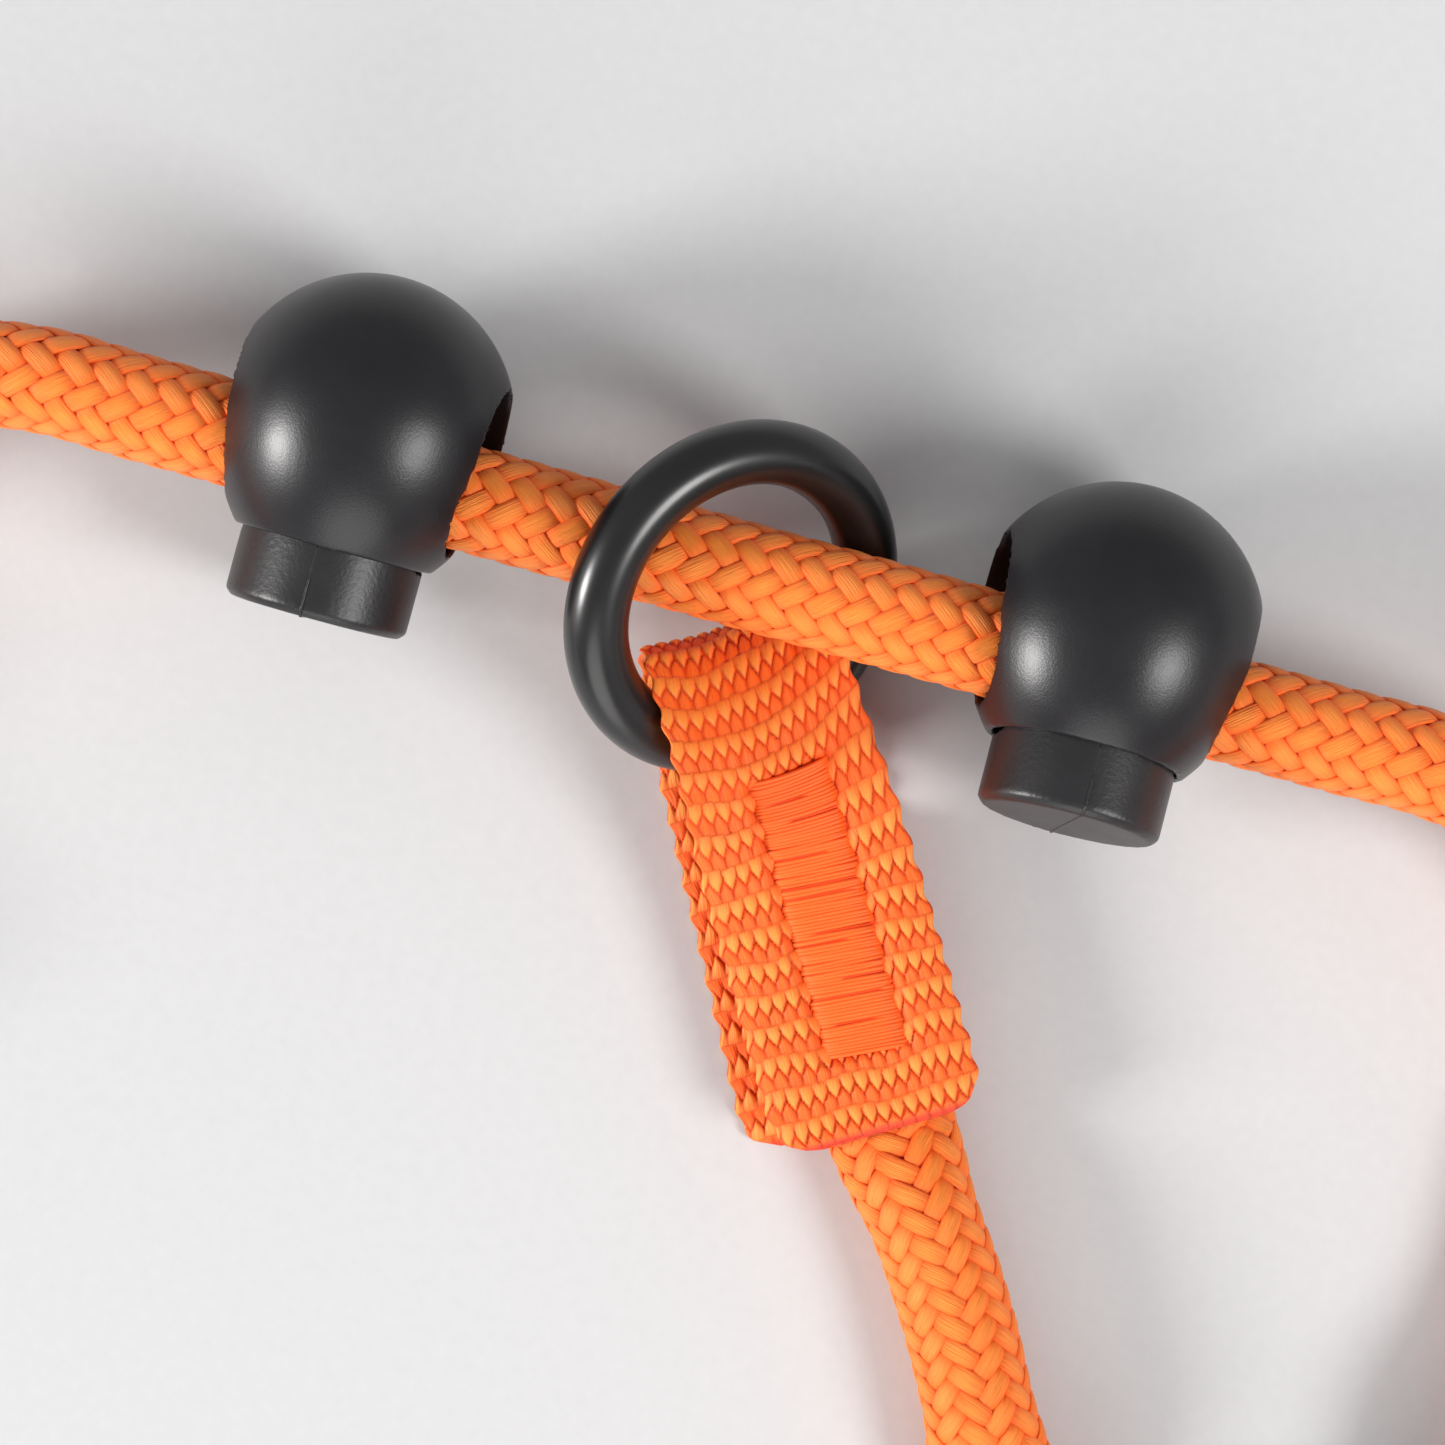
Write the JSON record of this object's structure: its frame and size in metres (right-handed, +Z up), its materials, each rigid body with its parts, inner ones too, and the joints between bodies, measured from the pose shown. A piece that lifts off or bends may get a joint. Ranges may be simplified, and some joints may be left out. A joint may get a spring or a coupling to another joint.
{
  "type": "rope ladder",
  "caption": "Rung joint of a rope ladder: a side rope through push-button cord locks and a ring that holds the rung rope by a bar-tacked webbing tab.",
  "frame": {"origin": "on the ground, under the middle of the object's bounding box", "axes": "+X along the side rope, +Y across it away from the rung and the lock buttons, +Z up from the ground it lies on"},
  "size_m": [0.1828, 0.1215, 0.0227],
  "materials": {
    "rope": "24-strand braided polyester",
    "webbing": "woven polyester webbing",
    "thread": "satin-stitched sewing thread",
    "lock": "matt moulded nylon",
    "ring": "glossy moulded",
    "spring": "bright wire"
  },
  "bodies": {
    "rail": {"side_rope": "rope", "left_end_tab": "webbing", "left_end_bartack": "thread", "right_end_tab": "webbing", "right_end_bartack": "thread"},
    "left_lock": {"left_lock_body": "lock", "left_lock_spring": "spring"},
    "left_button": {"left_lock_button": "lock"},
    "right_lock": {"right_lock_body": "lock", "right_lock_spring": "spring"},
    "right_button": {"right_lock_button": "lock"},
    "rung": {"rung_tab": "webbing", "rung_bartack": "thread", "rung_rope": "rope", "far_tab": "webbing", "far_bartack": "thread"},
    "near_ring": {"rung_ring": "ring"},
    "far_rung_ring": {"far_ring": "ring"},
    "left_ring": {"left_end_ring": "ring"},
    "right_ring": {"right_end_ring": "ring"}
  },
  "joints": [
    {"name": "left_lock_slide", "type": "slide", "parent": "rail", "child": "left_lock", "axis": [1, 0, 0], "range_m": [-0.005, 0.002]},
    {"name": "right_lock_slide", "type": "slide", "parent": "rail", "child": "right_lock", "axis": [1, 0, 0], "range_m": [-0.002, 0.005]},
    {"name": "left_button_press", "type": "slide", "parent": "left_lock", "child": "left_button", "axis": [-0.0033, 0.9994, 0.0347], "range_m": [0, 0.002], "stiffness_N_per_m": 1500, "springref_m": -0.004, "deforming": ["left_lock_spring"]},
    {"name": "right_button_press", "type": "slide", "parent": "right_lock", "child": "right_button", "axis": [-0.0133, 0.9903, -0.1385], "range_m": [0, 0.002], "stiffness_N_per_m": 1500, "springref_m": -0.004, "deforming": ["right_lock_spring"]},
    {"name": "rung_swing", "type": "hinge", "parent": "left_lock", "child": "rung", "pos_m": [0, 0.04625, 0.0116], "axis": [1, 0, 0], "range_deg": [-70, 0]},
    {"name": "ring_turn", "type": "hinge", "parent": "rung", "child": "near_ring", "pos_m": [0, 0.04445, 0.01095], "axis": [0.5877, -0.2434, 0.7716], "continuous": true},
    {"name": "far_ring_flap", "type": "hinge", "parent": "rung", "child": "far_rung_ring", "pos_m": [0.05143, -0.03846, 0.0047], "axis": [-0.8517, -0.524, 0], "range_deg": [-20, 28]},
    {"name": "left_end_ring_flap", "type": "hinge", "parent": "rail", "child": "left_ring", "pos_m": [-0.0775, -0.00425, 0.0047], "axis": [-1, 0, 0], "range_deg": [-20, 28]},
    {"name": "right_end_ring_flap", "type": "hinge", "parent": "rail", "child": "right_ring", "pos_m": [0.0775, -0.00425, 0.0047], "axis": [-1, 0, 0], "range_deg": [-20, 28]}
  ]
}
